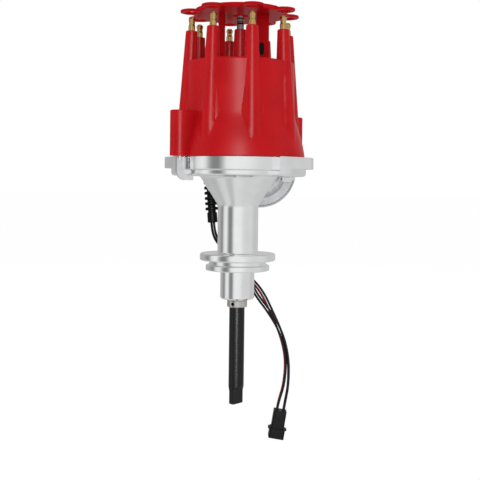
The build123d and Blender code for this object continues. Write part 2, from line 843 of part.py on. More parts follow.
def make_cap():
    cap = cap_shell()
    tower = make_tower() + make_tower_root()
    for i in range(tower_count):
        cap += turned_to(tower, tower_turn + i * 360 / tower_count)
    coil_height = coil_tower_z - cap_deck_z + 2
    coil_tower = Pos(0, 0, coil_tower_z) * fillet(
        Cone(
            tower_top_r + coil_height * draft,
            tower_top_r,
            coil_height,
            align=(Align.CENTER, Align.CENTER, Align.MAX),
        )
        .edges()
        .sort_by(Axis.Z)[-1],
        0.9,
    )
    cap += coil_tower
    for turn in latch_angles:
        cap += turned_to(latch_boss(), turn)
    cavity = turned(
        [
            (0, rim_z - 1),
            (cavity_base_r, rim_z - 1),
            (cavity_base_r, cap_shoulder_z + 8),
            (cavity_top_r, cap_wall_z + 1),
            (cavity_top_r, cavity_top_z),
            (8, cavity_top_z),
            (6.5, brush_bottom_z + 4),
            (0, brush_bottom_z + 4),
        ],
        [0, 0, 6.0, 6.0, 4.0, 2.0, 1.0, 0],
    )
    cap -= cavity
    # the lip that centres the cap in the bowl
    cap += ring(bowl_inner_r - lip_gap, bowl_inner_r - 3.2, rim_z - lip_depth, rim_z + 3)
    cap += ring(cavity_base_r + 1, bowl_inner_r - 3.2, rim_z, rim_z + 3)
    for turn in latch_angles:
        at = Pos(*place(latch_ring_r, turn))
        cap -= at * disc(latch_rod_r + pin_gap, rim_z - 1, boss_top_z)
        cap -= at * disc(latch_pocket_r, boss_top_z - latch_pocket_depth, boss_top_z + 1)
    cap -= disc(brush_r + 0.1, brush_bottom_z, coil_seat_z)
    cap -= disc(insert_r, coil_seat_z - 1, coil_tower_z + 1)
    return cap


coil_seat_z = brush_bottom_z + brush_height + brush_spring_room


def terminal_top(height, base_r):
    # the push-on stud: a shoulder, a waist and a rounded knob, from z = 0 up
    waist = base_r - 0.5
    return turned(
        [
            (0, -2),
            (insert_r, -2),
            (insert_r, 0),
            (base_r, 0),
            (base_r, height * 0.36),
            (waist, height * 0.46),
            (waist, height * 0.62),
            (base_r, height * 0.72),
            (base_r, height * 0.86),
            (base_r * 0.55, height),
            (0, height),
        ],
        [0, 0, 0, 0.3, 0.5, 0.4, 0.4, 0.6, 1.0, 1.0, 0],
    )


def make_plug_terminal():
    # the stud on the tower, the rod down through it and the electrode inside the cap
    rod_length = tower_top_z - electrode_z - electrode_height + 2
    rod = Cylinder(insert_r, rod_length, align=(Align.CENTER, Align.CENTER, Align.MAX))
    leaned = Pos(0, -tower_ring_r, tower_top_z) * Rot(-tower_lean, 0, 0)
    stud = leaned * (terminal_top(terminal_height, terminal_r) + rod)
    outer = tower_axis(electrode_z) + 2.4
    pad = Pos(0, -(electrode_r + outer) / 2, electrode_z) * Box(
        5.6, outer - electrode_r, electrode_height, align=(Align.CENTER, Align.CENTER, Align.MIN)
    )
    pad -= disc(electrode_r, electrode_z - 1, electrode_z + electrode_height + 1)
    pad = fillet(pad.edges().filter_by(Axis.Z).sort_by(Axis.Y)[:2], 1.2)
    return stud + pad


def make_coil_terminal():
    rod = disc(insert_r, coil_seat_z, coil_tower_z)
    return rod + Pos(0, 0, coil_tower_z) * terminal_top(terminal_height, terminal_r + 0.2)


brush_spring_z = brush_bottom_z + brush_height + 0.1
brush = turned(
    [
        (0, brush_bottom_z),
        (brush_r, brush_bottom_z),
        (brush_r, brush_bottom_z + brush_height),
        (0, brush_bottom_z + brush_height),
    ],
    [0, 1.2, 0, 0],
)


def make_brush_spring():
    room = coil_seat_z - brush_spring_z
    return Pos(0, 0, brush_spring_z + 0.5) * coil_spring(0.4, 1.9, room - 1.0, 4)


# ======================================================================= latches
def make_latch():
    # J-hook stamped from plate, on a rod with a slotted head; drawn standing on the -Y side
    half = hook_width / 2
    foot_top = bowl_bottom_z - seat_gap
    foot_low = foot_top - hook_foot_height
    reach = latch_ring_r - hook_foot_r
    outline = FilletPolyline(
        (-half, rim_z - seat_gap),
        (-half, foot_low),
        (reach, foot_low),
        (reach, foot_top),
        (half, foot_top),
        (half, rim_z - seat_gap),
        radius=[0, 9.0, 0.8, 0.8, 2.5, 0],
        close=True,
    )
    hook = extrude(Plane.YZ * make_face(outline), hook_thick / 2, both=True)
    rod = disc(latch_rod_r, rim_z - 4.0, latch_head_z)
    head = disc(latch_head_r, latch_head_z, latch_head_z + 3.0)
    head = chamfer(head.edges().filter_by(GeomType.CIRCLE), 0.4)
    head -= Pos(0, 0, latch_head_z + 3.0) * Box(12, 1.2, 2.4)
    return Pos(0, -latch_ring_r, 0) * (hook + rod + head)


latch_head_z = boss_top_z - 6.0
latch_spring_low = boss_top_z - latch_pocket_depth


def make_latch_springs():
    springs = []
    for turn in latch_angles:
        spring = coil_spring(0.55, latch_rod_r + 1.3, latch_head_z - latch_spring_low - 2.0, 5)
        springs.append(turned_to(Pos(0, -latch_ring_r, latch_spring_low + 1.0) * spring, turn))
    return Compound(children=springs)


# ======================================================================= wire retainer
def make_retainer():
    low, high = retainer_z, retainer_z + retainer_thick
    plate = disc(retainer_r, low, high)
    for i in range(tower_count):
        plate += Pos(*place(tower_ring_r, tower_turn + i * 360 / tower_count)) * disc(loop_r, low, high)
    plate = fillet(plate.edges().filter_by(Axis.Z), 3.0)
    plate = fillet(plate.faces().filter_by(Axis.Z).edges(), 0.8)
    raised = disc(retainer_step_r, high - 1, high + retainer_raise)
    plate += fillet(raised.edges().sort_by(Axis.Z)[-1], 0.8)
    for i in range(tower_count):
        hole = disc(loop_hole_r, low - 1, high + 4)
        plate -= Pos(*place(tower_ring_r, tower_turn + i * 360 / tower_count)) * hole
    plate -= disc(loop_hole_r + 1.0, low - 1, high + 4)
    legs = (
        Pos(narrow_leg_x, 0, cap_deck_z) * Box(6.4, leg_depth, low - cap_deck_z + 1, align=leg_align)
        + Pos(wide_leg_x, 0, cap_deck_z) * Box(12.0, leg_depth, low - cap_deck_z + 1, align=leg_align)
    )
    legs = fillet(legs.edges().filter_by(Axis.Z), 1.6)
    plate += legs
    plate -= Pos(wide_leg_x - 1.2, -leg_depth / 2, vent_z) * vent_block(0)
    for x in (narrow_leg_x, wide_leg_x):
        plate -= Pos(x, 0, 0) * disc(retainer_screw_r + 0.1, cap_deck_z - 1, high + 5)
        plate -= Pos(x, 0, high + retainer_raise) * Cone(
            retainer_screw_r, 2.9, 2.2, align=(Align.CENTER, Align.CENTER, Align.MAX)
        )
    return plate


leg_align = (Align.CENTER, Align.CENTER, Align.MIN)
retainer_screw_r = 1.3
vent_z = 206.5
vent_width = 5.4
vent_height = 12.0


def vent_block(shrink):
    shape = Plane.XZ * SlotOverall(vent_height - shrink, vent_width - shrink, rotation=90)
    return extrude(shape, 2 * 1.2, both=True)


def make_vent():
    plug = Pos(wide_leg_x - 1.2, -leg_depth / 2, vent_z) * vent_block(0)
    keep = Pos(wide_leg_x, 0, vent_z) * Box(40, leg_depth - 1.0, 40)
    return plug & keep


def make_retainer_screws():
    screws = []
    top = retainer_z + retainer_thick + retainer_raise
    for x in (narrow_leg_x, wide_leg_x):
        head = Cone(retainer_screw_r, 2.8, 2.1, align=(Align.CENTER, Align.CENTER, Align.MAX))
        head -= Box(8, 0.7, 1.6)
        shank = disc(retainer_screw_r, cap_deck_z - top - 8.0, -1.0)
        screws.append(Pos(x, 0, top) * (head + shank))
    return Compound(children=screws)


# ======================================================================= vacuum advance
def along_y(shape, y):
    # a shape turned about Z, laid along +Y on the canister's centre line
    return Pos(canister_x, y, canister_z) * Rot(-90, 0, 0) * shape


def make_front_shell():
    t = canister_flange_thick
    return along_y(
        turned(
            [
                (5.0, -9.5),
                (canister_dome_r - 5, -9.5),
                (canister_dome_r, -2.0),
                (canister_dome_r, 0),
                (canister_r - 1.0, 0),
                (canister_r - 1.0, t),
                (canister_dome_r - 1.2, t),
                (canister_dome_r - 1.2, -1.4),
                (canister_dome_r - 5.6, -8.3),
                (5.0, -8.3),
            ],
            [0, 3.0, 1.5, 0.8, 0.8, 0, 0.8, 0.8, 2.0, 0],
        ),
        canister_y,
    )


def make_rear_shell():
    t = canister_flange_thick
    low = t + diaphragm_thick
    return along_y(
        turned(
            [
                (2.0, 24),
                (4.6, 24),
                (canister_dome_r, 21),
                (canister_dome_r, low + t),
                (canister_r + 0.8, low + t),
                (canister_r + 0.8, 0.4),
                (canister_r - 0.6, 0.4),
                (canister_r - 0.6, low),
                (canister_dome_r - 1.2, low),
                (canister_dome_r - 1.2, 19.8),
                (4.6, 22.6),
                (2.0, 22.6),
            ],
            [0, 0, 4.0, 1.5, 1.2, 0.5, 0.4, 0, 0, 3.0, 0, 0],
        ),
        canister_y,
    )


diaphragm_thick = 1.2
nipple_r = 2.4
nipple_length = 16.0


def make_nipple():
    return along_y(
        turned(
            [
                (1.2, 22.6),
                (2.0, 22.6),
                (2.0, 24),
                (5.0, 24),
                (5.0, 26.4),
                (nipple_r, 26.4),
                (nipple_r, 24 + nipple_length - 0.8),
                (nipple_r - 0.4, 24 + nipple_length),
                (1.2, 24 + nipple_length),
            ]
        ),
        canister_y,
    )


def make_diaphragm():
    t = canister_flange_thick
    return along_y(
        turned(
            [
                (1.0, 5.2),
                (canister_dome_r - 7, 5.2),
                (canister_dome_r - 3.4, t),
                (canister_r - 0.7, t),
                (canister_r - 0.7, t + diaphragm_thick),
                (canister_dome_r - 2.8, t + diaphragm_thick),
                (canister_dome_r - 6.6, 5.2 + diaphragm_thick),
                (1.0, 5.2 + diaphragm_thick),
            ],
            [0, 1.2, 1.2, 0, 0, 0.8, 0.8, 0],
        ),
        canister_y,
    )


arm_start_y = canister_y + 5.2
pin_point = place(arm_pin_ring_r, 90 + arm_pin_start)


def make_arm():
    # the flat link: straight out of the canister, then cranked outwards to the plate's pin
    half = arm_width / 2
    y_crank = 38.0
    low = canister_z - arm_thick / 2
    route = [
        (canister_x, arm_start_y),
        (canister_x, y_crank),
        (pin_point.X, pin_point.Y + 14),
        (pin_point.X, pin_point.Y),
    ]
    left = FilletPolyline(
        (route[0][0] - half, route[0][1]),
        (route[1][0] - half, route[1][1] - 1.2),
        (route[2][0] - half, route[2][1] - 1.2),
        (route[3][0] - half, route[3][1]),
        (route[3][0] + half, route[3][1]),
        (route[2][0] + half, route[2][1] + 1.2),
        (route[1][0] + half, route[1][1] + 1.2),
        (route[0][0] + half, route[0][1]),
        radius=[0, 6, 6, 0, 0, 6, 6, 0],
        close=True,
    )
    arm = extrude(Pos(0, 0, low) * make_face(left), arm_thick)
    eye = Pos(*pin_point)
    arm += eye * disc(half, low, low + arm_thick)
    arm -= eye * disc(arm_pin_r + arm_pin_gap, low - 1, low + 4)
    # the plate that backs the diaphragm, riveted to the link
    arm += along_y(turned([(0, 3.6), (13.0, 3.6), (13.0, 5.0), (1.0, 5.0), (1.0, 8.2), (0, 8.2)]), canister_y)
    arm += along_y(
        turned([(0, 6.6), (13.0, 6.6), (14.2, 10.6), (13.4, 10.6), (12.4, 7.4), (0, 7.4)]), canister_y
    )
    return arm


def make_vacuum_spring():
    start = 8.5
    end = 18.7
    return along_y(Pos(0, 0, start) * coil_spring(0.8, 10.0, end - start, 3), canister_y)


def make_bracket():
    # a pressed angle: one leg under the bowl, the other against the front shell
    thick = 2.0
    top = bowl_bottom_z
    face_y = canister_y - 9.5
    side = FilletPolyline(
        (bracket_start_y, top - thick),
        (face_y - thick, top - thick),
        (face_y - thick, top - thick - 12),
        (face_y, top - thick - 12),
        (face_y, top),
        (bracket_start_y, top),
        radius=[0, 1.0, 0, 0, 3.0, 0],
        close=True,
    )
    angle = Pos(canister_x - 16, 0, 0) * extrude(Plane.YZ * make_face(side), 28)
    for x, y in bracket_screw_points:
        angle -= Pos(x, y, 0) * disc(screw_r + 0.2, top - 4, top + 1)
    return angle


def make_bracket_screws():
    screws = []
    for x, y in bracket_screw_points:
        screws.append(pan_screw(x, y, bowl_bottom_z - 2.0, 4.4, down=False))
    return Compound(children=screws)


# ======================================================================= strain relief and wires
relief_top = place(relief_ring_r, relief_turn, bowl_bottom_z)
relief_bottom = Vector(-24.5, 29.0, 43.0)
relief_axis = relief_bottom - relief_top
relief_length = relief_axis.length
relief_core_r = 3.8
relief_rib_r = 6.2
relief_flange_r = 5.8
relief_plane = Plane(origin=relief_top, z_dir=relief_axis)


def make_strain_relief():
    # ribbed boot: a flange against the bowl, six ribs and a plain end, all on its leaning axis
    pitch = 5.1
    rib = 2.6
    outline = [(0, -1.5)]
    radii = [0]
    z = 2.4
    outline += [(relief_flange_r, -1.5), (relief_flange_r, z)]
    radii += [0, 0.6]
    for _ in range(6):
        outline += [(relief_core_r, z), (relief_core_r, z + pitch - rib)]
        z += pitch - rib
        outline += [(relief_rib_r, z), (relief_rib_r, z + rib)]
        radii += [0.5, 0.5, 0.7, 0.7]
        z += rib
    outline += [(relief_core_r, z), (relief_core_r, z + 2.4)]
    outline += [(relief_core_r + 1.0, z + 2.4), (relief_core_r + 1.0, relief_length), (0, relief_length)]
    radii += [0.5, 0.4, 0.6, 0.8, 0]
    boot = relief_plane * turned(outline, radii)
    boot -= disc(80, bowl_bottom_z - seat_gap / 2, bowl_bottom_z + 40)
    plug = disc(relief_hole_r - 0.05, bowl_bottom_z - 0.5, floor_z + 2)
    plug += disc(relief_hole_r + 0.4, floor_z, floor_z + 2)
    return boot + Pos(*place(relief_ring_r, relief_turn)) * plug


# the loom's middle line, from the boot's end behind the neck to the connector
loom = [
    (-24.5, 29.0, 43.0),
    (-23.3, 27.5, 31.2),
    (-16.0, 36.5, 20.0),
    (-4.5, 42.5, 6.5),
    (8.5, 42.0, -8.0),
    (21.0, 36.5, -24.5),
    (33.0, 32.0, -43.5),
    (43.6, 30.0, -64.0),
    (49.4, 29.8, -88.0),
    (48.6, 30.0, -113.0),
    (43.0, 30.0, -138.0),
]
loom_end = Vector(*loom[-1])
tilt = radians(connector_tilt)
connector_axis = Vector(-sin(tilt), 0.0, -cos(tilt))
connector_side = Vector(cos(tilt), 0.0, -sin(tilt))
connector_back = Vector(0, 1, 0)
# how far each wire strays from the middle line at each point: across and in depth, in pitches
spreads = {
    "wire_ignition": [
        (-0.5, 0.5), (-0.5, 0.5), (-0.5, 0.5), (-0.5, 0.5), (-0.5, 0.5),
        (0.7, 0.4), (-0.3, 0.5), (-0.7, 0.5), (-0.7, 0.5), (-1.0, 0.5),
    ],
    "wire_ground": [
        (-0.5, -0.5), (-0.5, -0.5), (-0.5, -0.5), (-0.5, -0.5), (-0.5, -0.5),
        (-2.0, -0.4), (-0.9, -0.5), (-0.4, -0.5), (-0.4, -0.5), (-0.7, -0.6),
    ],
    "wire_coil": [
        (0.5, 0.5), (0.5, 0.5), (0.5, 0.5), (0.5, 0.5), (0.5, 0.5),
        (1.7, 0.5), (0.8, 0.5), (0.4, 0.5), (0.35, 0.5), (0.8, 0.5),
    ],
    "wire_tach": [
        (0.5, -0.5), (0.5, -0.5), (0.5, -0.5), (0.5, -0.5), (0.5, -0.5),
        (-1.0, -0.5), (0.2, -0.6), (0.6, -0.5), (0.6, -0.5), (0.9, -0.6),
    ],
}


def wire_route(strays):
    # the points of one wire, each set off square to the loom's middle line
    middle = [Vector(*point) for point in loom]
    points = []
    for i, (across, deep) in enumerate(strays):
        ahead = middle[i + 1] - middle[max(i - 1, 0)]
        side = ahead.cross(connector_back).normalized()
        back = side.cross(ahead).normalized()
        points.append(middle[i] + (side * across + back * deep) * wire_pitch)
    return points


def corner_radii(points):
    # each arc as large as its two runs allow
    radii = []
    for a, b, c in zip(points, points[1:], points[2:]):
        one, two = b - a, c - b
        turn = radians(one.get_angle(two))
        radii.append(0.45 * min(one.length, two.length) / tan(turn / 2))
    return radii


def make_wire(node, slot):
    points = wire_route(spreads[node])
    # the start lies on the boot's end face and the last run goes into the connector's top
    local = relief_plane.to_local_coords(points[0])
    start = relief_plane.from_local_coords(Vector(local.X, local.Y, relief_length))
    leave = start + relief_axis.normalized() * (points[1] - points[0]).length
    across, deep = slot
    half_pitch = connector_pitch / 2
    end = loom_end + (connector_side * across + connector_back * deep) * half_pitch
    before = end - connector_axis * 7.5
    points = [start, leave] + points[2:] + [before, end]
    radii = corner_radii(points)
    print(node, "radii", " ".join(f"{r:.0f}" for r in radii))
    path = FilletPolyline(*points, radius=radii)
    section = Plane(origin=path @ 0, z_dir=path % 0) * Circle(wire_r)
    wire = sweep(section, path=path)
    share = wire.volume / (pi * wire_r**2 * path.length)
    print(node, "length", round(path.length, 1), "volume share", round(share, 4))
    return wire


connector_plane = Plane(origin=loom_end, x_dir=connector_side, z_dir=-connector_axis)


def make_connector():
    # 2 by 2 shell: a wider skirt with a thin ear on two sides, and open sockets at the mouth
    hang = (Align.CENTER, Align.CENTER, Align.MAX)
    shell = Box(connector_width, connector_width, connector_upper, align=hang)
    shell = fillet(shell.edges().filter_by(Axis.Z), 1.4)
    skirt_height = connector_length - connector_upper
    skirt = Pos(0, 0, -connector_upper) * Box(connector_skirt, connector_skirt, skirt_height, align=hang)
    shell += fillet(skirt.edges().filter_by(Axis.Z), 1.6)
    ears = Pos(0, 0, -connector_upper) * Box(
        connector_ears, 8.0, connector_ear_thick, align=hang
    )
    shell += fillet(ears.edges().filter_by(Axis.Z), 1.2)
    mouth = Pos(0, 0, -connector_length) * Box(
        connector_skirt - 2.4, connector_skirt - 2.4, 8.0, align=(Align.CENTER, Align.CENTER, Align.MIN)
    )
    shell -= mouth
    for x in (-1, 1):
        for y in (-1, 1):
            at = Pos(x * connector_pitch / 2, y * connector_pitch / 2, 0)
            shell -= at * disc(pin_shell_r, -connector_length, -5.0)
    return connector_plane * shell


pin_shell_r = 1.7


def make_connector_pins():
    pins = []
    for x in (-1, 1):
        for y in (-1, 1):
            pin = disc(1.15, -connector_length + 1.5, -6.0) + disc(pin_shell_r, -12.0, -6.0)
            pins.append(Pos(x * connector_pitch / 2, y * connector_pitch / 2, 0) * pin)
    return connector_plane * Compound(children=pins)


# ======================================================================= build and write
housing = make_housing()
terminal = make_plug_terminal()
plug_terminals = [turned_to(terminal, tower_turn + i * 360 / tower_count) for i in range(tower_count)]
cap = make_cap()
for one in plug_terminals:
    cap -= one
retainer_screws = make_retainer_screws()
cap -= retainer_screws

save(housing, "housing")
save(lower_bushing, "lower_bushing")
save(outer_race, "bearing_outer_race")
save(inner_race, "bearing_inner_race")
save(make_balls(), "bearing_balls")
save(make_cage(), "bearing_cage")
save(circlip, "bearing_circlip")
save(make_shaft(), "shaft")
save(make_collar(), "thrust_collar")
save(make_roll_pin(), "roll_pin")
save(thrust_washer, "thrust_washer")
save(make_advance_plate(), "advance_plate")
save(make_cam(), "advance_cam")
save(make_weight(0), "advance_weight_a")
save(make_weight(180), "advance_weight_b")
save(make_advance_springs(), "advance_springs")
save(make_reluctor(), "reluctor")
save(make_rotor(), "rotor")
save(make_rotor_contact(), "rotor_contact")
save(make_rotor_screws(), "rotor_screws")
save(make_pickup_plate(), "pickup_plate")
save(make_pickup_coil(), "pickup_coil")
save(make_pickup_pole(), "pickup_pole")
save(make_pickup_screws(), "pickup_screws")
save(make_module(), "ignition_module")
save(make_module_screws(), "module_screws")
save(cap, "cap")
save(Compound(children=plug_terminals), "plug_terminals")
save(make_coil_terminal(), "coil_terminal")
save(brush, "carbon_brush")
save(make_brush_spring(), "brush_spring")
save(turned_to(make_latch(), latch_angles[0]), "cap_latch_left")
save(turned_to(make_latch(), latch_angles[1]), "cap_latch_right")
save(make_latch_springs(), "latch_springs")
save(make_retainer(), "wire_retainer")
save(make_vent(), "cap_vent")
save(retainer_screws, "retainer_screws")
save(make_front_shell(), "vacuum_front_shell")
save(make_rear_shell(), "vacuum_rear_shell")
save(make_nipple(), "vacuum_nipple")
save(make_diaphragm(), "vacuum_diaphragm")
save(make_arm(), "vacuum_arm")
save(make_vacuum_spring(), "vacuum_spring")
save(make_bracket(), "vacuum_bracket")
save(make_bracket_screws(), "bracket_screws")
save(make_strain_relief(), "strain_relief")
save(make_wire("wire_ignition", (-1, 1)), "wire_ignition")
save(make_wire("wire_ground", (-1, -1)), "wire_ground")
save(make_wire("wire_coil", (1, 1)), "wire_coil")
save(make_wire("wire_tach", (1, -1)), "wire_tach")
save(make_connector(), "connector_housing")
save(make_connector_pins(), "connector_pins")
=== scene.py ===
import json
import math

import bpy
from mathutils import Euler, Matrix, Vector


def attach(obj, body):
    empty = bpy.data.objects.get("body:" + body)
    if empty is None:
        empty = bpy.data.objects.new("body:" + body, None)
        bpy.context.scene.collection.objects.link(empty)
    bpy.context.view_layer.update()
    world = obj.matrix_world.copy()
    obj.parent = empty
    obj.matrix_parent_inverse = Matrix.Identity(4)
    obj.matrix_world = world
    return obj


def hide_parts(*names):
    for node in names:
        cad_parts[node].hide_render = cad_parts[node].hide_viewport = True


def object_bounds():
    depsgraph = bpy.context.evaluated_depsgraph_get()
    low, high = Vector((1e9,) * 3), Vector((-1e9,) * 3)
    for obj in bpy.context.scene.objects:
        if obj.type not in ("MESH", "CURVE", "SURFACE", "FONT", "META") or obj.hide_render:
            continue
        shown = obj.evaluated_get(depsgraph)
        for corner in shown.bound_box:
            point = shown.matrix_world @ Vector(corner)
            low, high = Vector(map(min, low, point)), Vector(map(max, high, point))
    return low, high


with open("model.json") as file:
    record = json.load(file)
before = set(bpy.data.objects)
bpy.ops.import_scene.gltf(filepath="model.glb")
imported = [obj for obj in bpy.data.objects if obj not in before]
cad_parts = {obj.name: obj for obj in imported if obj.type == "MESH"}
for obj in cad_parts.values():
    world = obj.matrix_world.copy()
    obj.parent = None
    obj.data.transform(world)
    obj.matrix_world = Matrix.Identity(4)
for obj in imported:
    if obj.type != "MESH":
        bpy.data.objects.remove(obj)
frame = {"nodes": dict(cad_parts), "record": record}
nodes = frame["nodes"]
cadLow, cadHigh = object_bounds()
print("frame loaded with", len(nodes), "nodes")

scene = bpy.context.scene
mm = 0.001

# a level camera with a slight roll; its lens shift sets the part's height in the picture
cameraSet = {
    "lens": 65.7,
    "sensor": 36.0,
    "near": 0.01,
    "distance": 0.819,
    "sideways": 0.0015,
    "height": 0.0776,
    "roll": 0.68,
    "shiftDown": 0.1104,
}


def placeCamera(s):
    data = bpy.data.cameras.new("viewCamera")
    data.lens = s["lens"]
    data.sensor_width = s["sensor"]
    data.clip_start = s["near"]
    data.shift_y = -s["shiftDown"]
    camera = bpy.data.objects.new("viewCamera", data)
    scene.collection.objects.link(camera)
    camera.location = (s["sideways"], -s["distance"], s["height"])
    level = Euler((math.radians(90), 0, 0)).to_matrix()
    roll = Euler((0, 0, math.radians(s["roll"]))).to_matrix()
    camera.rotation_euler = (level @ roll).to_euler()
    scene.camera = camera


placeCamera(cameraSet)
print("camera placed")


# where most of a noise texture's values lie
noiseSpan = (0.3, 0.7)
# the Mix node's colour sockets, which share their names with its number sockets
mixSockets = {"dark": 6, "light": 7, "out": 2}


class Finish:
    # one material, with its principled shader and short ways to add nodes to it

    def __init__(self, name, color, metallic=0.0, **sockets):
        self.material = bpy.data.materials.new(name)
        self.material.use_nodes = True
        self.tree = self.material.node_tree
        self.shader = self.tree.nodes["Principled BSDF"]
        self.set("Base Color", (*color, 1))
        self.set("Metallic", metallic)
        for socket, value in sockets.items():
            self.set(socket.replace("_", " "), value)
        self.place = self.add("ShaderNodeTexCoord").outputs["Object"]

    def set(self, socket, value):
        self.shader.inputs[socket].default_value = value

    def add(self, kind, **sources):
        node = self.tree.nodes.new(kind)
        for name, source in sources.items():
            self.tree.links.new(source, node.inputs[name])
        return node

    def stretched(self, scale):
        # the object's own place, stretched on each axis, for grain with a direction
        node = self.add("ShaderNodeMapping", Vector=self.place)
        node.inputs["Scale"].default_value = scale
        return node.outputs["Vector"]

    def noise(self, scale, detail=3.0, place=None):
        node = self.add("ShaderNodeTexNoise", Vector=place or self.place)
        node.inputs["Scale"].default_value = scale
        node.inputs["Detail"].default_value = detail
        return node.outputs["Fac"]

    def remap(self, value, low, high):
        node = self.add("ShaderNodeMapRange", Value=value)
        node.inputs["From Min"].default_value = noiseSpan[0]
        node.inputs["From Max"].default_value = noiseSpan[1]
        node.inputs["To Min"].default_value = low
        node.inputs["To Max"].default_value = high
        return node.outputs["Result"]

    def tint(self, value, dark, light):
        # the colour runs between two shades by a value
        node = self.tree.nodes.new("ShaderNodeMix")
        node.data_type = "RGBA"
        self.tree.links.new(value, node.inputs["Factor"])
        node.inputs[mixSockets["dark"]].default_value = (*dark, 1)
        node.inputs[mixSockets["light"]].default_value = (*light, 1)
        mixed = node.outputs[mixSockets["out"]]
        self.tree.links.new(mixed, self.shader.inputs["Base Color"])

    def rough(self, value):
        self.tree.links.new(value, self.shader.inputs["Roughness"])

    def bump(self, height, strength, distance):
        node = self.add("ShaderNodeBump", Height=height)
        node.inputs["Strength"].default_value = strength
        node.inputs["Distance"].default_value = distance
        self.tree.links.new(node.outputs["Normal"], self.shader.inputs["Normal"])


def shades(color, factors):
    # a darker and a lighter shade of one colour
    return [tuple(min(1.0, c * factor) for c in color) for factor in factors]


# bright aluminium with the fine rings that a lathe leaves
aluminiumSet = {
    "color": (0.90, 0.905, 0.91),
    "shades": (0.95, 1.03),
    "roughness": (0.07, 0.15),
    "grooves": (12, 12, 2600),
    "smears": 55,
    "bump": 0.25,
    "depth": 0.00002,
}


def turnedAluminium(s):
    f = Finish("turnedAluminium", s["color"], metallic=1.0)
    rings = f.noise(1.0, detail=2.0, place=f.stretched(s["grooves"]))
    smears = f.noise(s["smears"], detail=4.0)
    f.tint(f.remap(smears, 0, 1), *shades(s["color"], s["shades"]))
    f.rough(f.remap(rings, *s["roughness"]))
    f.bump(rings, s["bump"], s["depth"])
    return f.material


# moulded red plastic; each red piece changes what it needs
redSet = {
    "color": (0.47, 0.0045, 0.0075),
    "shades": (0.90, 1.06),
    "gloss": 0.09,
    "roughness": (0.31, 0.38),
    "flow": 38,
    "grain": 2400,
    "bump": 0.10,
    "depth": 0.00003,
}


def mouldedRed(name, s):
    f = Finish(name, s["color"], Specular_IOR_Level=s["gloss"])
    flow = f.noise(s["flow"], detail=3.0)
    grain = f.noise(s["grain"], detail=2.0)
    f.tint(f.remap(flow, 0, 1), *shades(s["color"], s["shades"]))
    f.rough(f.remap(flow, *s["roughness"]))
    f.bump(grain, s["bump"], s["depth"])
    return f.material


# plated, ground or polished metal with faint scratches
metalSet = {
    "shades": (0.88, 1.05),
    "cloud": 140,
    "scratches": (900, 900, 300),
    "bump": 0.2,
    "depth": 0.00001,
}


def brightMetal(name, color, roughness, scratches=None, depth=None):
    s = metalSet
    f = Finish(name, color, metallic=1.0)
    marks = f.noise(1.0, detail=3.0, place=f.stretched(scratches or s["scratches"]))
    cloud = f.noise(s["cloud"], detail=3.0)
    f.tint(f.remap(cloud, 0, 1), *shades(color, s["shades"]))
    f.rough(f.remap(marks, *roughness))
    f.bump(marks, s["bump"], depth or s["depth"])
    return f.material


# rubber, nylon and filled plastics
mouldingSet = {
    "shades": (0.75, 1.35),
    "gloss": 0.3,
    "cloud": 220,
    "grain": 1500,
    "bump": 0.25,
    "depth": 0.00005,
}


def darkMoulding(name, color, roughness, gloss=None):
    s = mouldingSet
    f = Finish(name, color, Specular_IOR_Level=gloss or s["gloss"])
    cloud = f.noise(s["cloud"], detail=3.0)
    grain = f.noise(s["grain"], detail=3.0)
    f.tint(f.remap(cloud, 0, 1), *shades(color, s["shades"]))
    f.rough(f.remap(cloud, *roughness))
    f.bump(grain, s["bump"], s["depth"])
    return f.material


# the shaft's smooth black oxide
shaftSet = {
    "color": (0.006, 0.006, 0.007),
    "shades": (0.9, 1.1),
    "gloss": 0.26,
    "roughness": (0.33, 0.34),
    "cloud": 90,
}


def blackShaft(s):
    f = Finish("blackShaft", s["color"], Specular_IOR_Level=s["gloss"])
    cloud = f.noise(s["cloud"], detail=2.0)
    f.tint(f.remap(cloud, 0, 1), *shades(s["color"], s["shades"]))
    f.rough(f.remap(cloud, *s["roughness"]))
    return f.material


retainerSet = {**redSet, "color": (0.45, 0.0045, 0.0075), "gloss": 0.02}
rotorSet = {**redSet, "color": (0.40, 0.010, 0.012)}
# scratch scales along x, y and z
marksOf = {
    "turned": (40, 40, 2200),
    "ground": (40, 40, 2600),
    "cast": (1400, 1400, 1400),
    "zinc": (400, 400, 400),
}
zincDepth = 0.000006
glossOf = {"boot": 0.08, "nylon": 0.09, "wire": 0.2}

